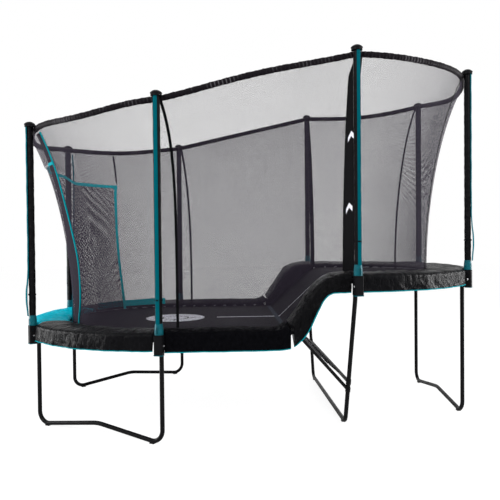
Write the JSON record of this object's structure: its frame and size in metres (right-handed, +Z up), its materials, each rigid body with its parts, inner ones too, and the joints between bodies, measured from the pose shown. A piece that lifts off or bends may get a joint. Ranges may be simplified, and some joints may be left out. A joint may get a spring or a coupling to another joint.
{
  "type": "two-level trampoline with enclosure net",
  "caption": "Oval garden trampoline on two levels: a low deck and a high deck joined by a sloping mat, with padded rails, padded poles and a net around it with an entrance flap.",
  "frame": {"origin": "on the floor, under the middle of the outer outline", "axes": "+Z up, +X from the low deck to the high deck, +Y to the back; the entrance is at the -X end"},
  "size_m": [4.4168, 2.898, 3.259],
  "materials": {
    "frame_steel": "black powder coat, semi gloss",
    "zinc_steel": "zinc plated wire",
    "black_plastic": "moulded, matt",
    "teal_plastic": "moulded, satin",
    "foam_sleeve": "foam tube in a black cover",
    "teal_cloth": "woven trim",
    "jump_mat": "woven polypropylene",
    "grey_tape": "woven tape",
    "pad_black": "coated cloth over foam, glossy",
    "pad_cyan": "coated cloth over foam, satin",
    "net_black": "knitted net",
    "webbing": "woven strap",
    "rod_grey": "pultruded rod",
    "rubber_black": "rubber foot pad",
    "bolt_steel": "zinc plated"
  },
  "bodies": {
    "frame_and_net": {"rail_left_front": "frame_steel", "rail_left_end": "frame_steel", "rail_left_back": "frame_steel", "rail_right_front": "frame_steel", "rail_right_end": "frame_steel", "rail_right_back": "frame_steel", "rails_low_straight": "frame_steel", "rail_ramp_front": "frame_steel", "rail_ramp_back": "frame_steel", "tee_sockets": "frame_steel", "leg_tubes": "frame_steel", "foot_bar_left_front": "frame_steel", "foot_bar_left_back": "frame_steel", "foot_bar_right": "frame_steel", "foot_bar_middle": "frame_steel", "foot_pads": "rubber_black", "cross_bar": "frame_steel", "braces": "frame_steel", "pole_clamps": "black_plastic", "clamp_trims": "teal_plastic", "frame_bolts": "bolt_steel", "poles": "frame_steel", "pole_sleeves": "foam_sleeve", "pole_strips": "teal_cloth", "pole_collars": "teal_plastic", "pole_caps": "black_plastic", "sleeve_ties": "webbing", "mat_slope_panel": "jump_mat", "tension_panel": "jump_mat", "springs_low": "zinc_steel", "springs_high": "zinc_steel", "springs_slope": "zinc_steel", "springs_tension": "zinc_steel", "pads_left_front": "pad_black", "pad_entrance": "pad_cyan", "pads_left_back": "pad_black", "pads_low_sides": "pad_black", "pads_ramp": "pad_black", "pads_right_front": "pad_black", "pad_right_end": "pad_black", "pads_right_back": "pad_black", "net_left_front": "net_black", "net_entrance_top": "net_black", "net_left_back": "net_black", "net_front": "net_black", "net_back": "net_black", "net_right_front": "net_black", "net_right_end": "net_black", "net_right_back": "net_black", "net_hem": "net_black", "ring_rods": "rod_grey", "net_straps": "webbing", "door_trims": "teal_cloth"},
    "low_mat": {"mat_low": "jump_mat", "mat_rings_low": "zinc_steel", "crease_tape": "grey_tape"},
    "high_mat": {"mat_high": "jump_mat", "mat_rings_high": "zinc_steel"},
    "curtain": {"entrance_curtain": "net_black", "curtain_trim": "teal_cloth"}
  },
  "joints": [
    {"name": "low_mat_bounce", "type": "slide", "parent": "frame_and_net", "child": "low_mat", "axis": [0, 0, 1], "range_m": [-0.2, 0], "stiffness_N_per_m": 5000, "deforming": ["springs_low", "mat_slope_panel", "springs_slope", "tension_panel", "springs_tension"]},
    {"name": "high_mat_bounce", "type": "slide", "parent": "frame_and_net", "child": "high_mat", "axis": [0, 0, 1], "range_m": [-0.2, 0], "stiffness_N_per_m": 5000, "deforming": ["springs_high", "mat_slope_panel", "springs_slope"]},
    {"name": "entrance_curtain_swing", "type": "hinge", "parent": "frame_and_net", "child": "curtain", "pos_m": [-1.6897, -0.505, 0.9], "axis": [0, 0, -1], "range_deg": [0, 55]}
  ]
}
